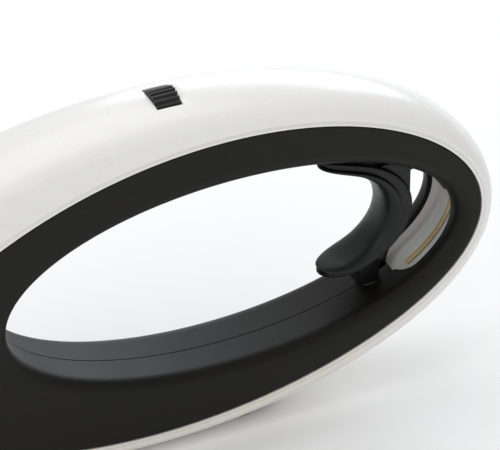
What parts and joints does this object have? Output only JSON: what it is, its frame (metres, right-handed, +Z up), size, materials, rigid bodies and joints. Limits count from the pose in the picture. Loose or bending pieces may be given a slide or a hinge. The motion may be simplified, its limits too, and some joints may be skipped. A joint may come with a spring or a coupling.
{
  "type": "microchip scanner",
  "caption": "Hand-held animal microchip reader: a closed oval loop handle with a reading head, a sliding finger trigger and a ribbed thumbwheel.",
  "frame": {"origin": "centre of the footprint on the counter, under the middle of the loop", "axes": "+X from the reading head to the grip end, +Y across the body, +Z up"},
  "size_m": [0.284, 0.036, 0.1539],
  "materials": {
    "cover_white": "moulded, high gloss",
    "frame_black": "fine spark texture",
    "trigger_black": "soft-touch satin",
    "wheel_rubber": "ribbed",
    "inner_plastic": "moulded",
    "steel": "bright",
    "brass": "turned",
    "foot_rubber": "moulded",
    "tray_white": "frosted",
    "window_clear": "polished",
    "lens_clear": "frosted",
    "display_grey": "liquid crystal cell",
    "board_green": "solder mask",
    "chip_black": "moulded",
    "led_body": "moulded",
    "former_natural": "natural nylon",
    "coil_copper": "enamelled copper wire",
    "cell_sleeve": "shrink sleeve",
    "button_grey": "moulded",
    "wire_red": "insulated"
  },
  "bodies": {
    "reader": {"handle_cover": "cover_white", "nose_cover": "cover_white", "frame_near": "frame_black", "frame_far": "frame_black", "arm_guide": "frame_black", "wheel_bracket": "inner_plastic", "switch_mount": "inner_plastic", "battery_cradle": "inner_plastic", "wheel_axle": "steel", "trigger_springs": "steel", "case_screws": "steel", "board_screws": "steel", "battery_contacts": "steel", "case_posts": "brass", "charge_pins": "brass", "tray_strip": "brass", "base_feet": "foot_rubber", "slot_tray": "tray_white", "display_window": "window_clear", "status_lens": "lens_clear", "display_module": "display_grey", "main_board": "board_green", "wheel_sensor": "board_green", "board_chips": "chip_black", "buzzer": "chip_black", "display_header": "chip_black", "trigger_switch": "chip_black", "tact_switch": "chip_black", "status_led": "led_body", "coil_former": "former_natural", "board_posts": "former_natural", "antenna_coil": "coil_copper", "battery_cell": "cell_sleeve", "wire_loom": "wire_red"},
    "wheel": {"thumb_wheel": "wheel_rubber", "wheel_core": "inner_plastic"},
    "trigger": {"trigger_pad": "trigger_black", "trigger_carrier": "trigger_black"},
    "power": {"power_button": "button_grey"}
  },
  "joints": [
    {"name": "wheel_spin", "type": "hinge", "parent": "reader", "child": "wheel", "pos_m": [0.0067, 0, 0.14672], "axis": [1, 0, 0], "continuous": true},
    {"name": "trigger_slide", "type": "slide", "parent": "reader", "child": "trigger", "axis": [1, 0, 0], "range_m": [0, 0.0065], "stiffness_N_per_m": 600, "springref_m": -0.004, "deforming": ["trigger_springs"]},
    {"name": "power_press", "type": "slide", "parent": "reader", "child": "power", "axis": [0, 1, 0], "range_m": [0, 0.0008], "stiffness_N_per_m": 1500, "springref_m": -0.0003}
  ]
}
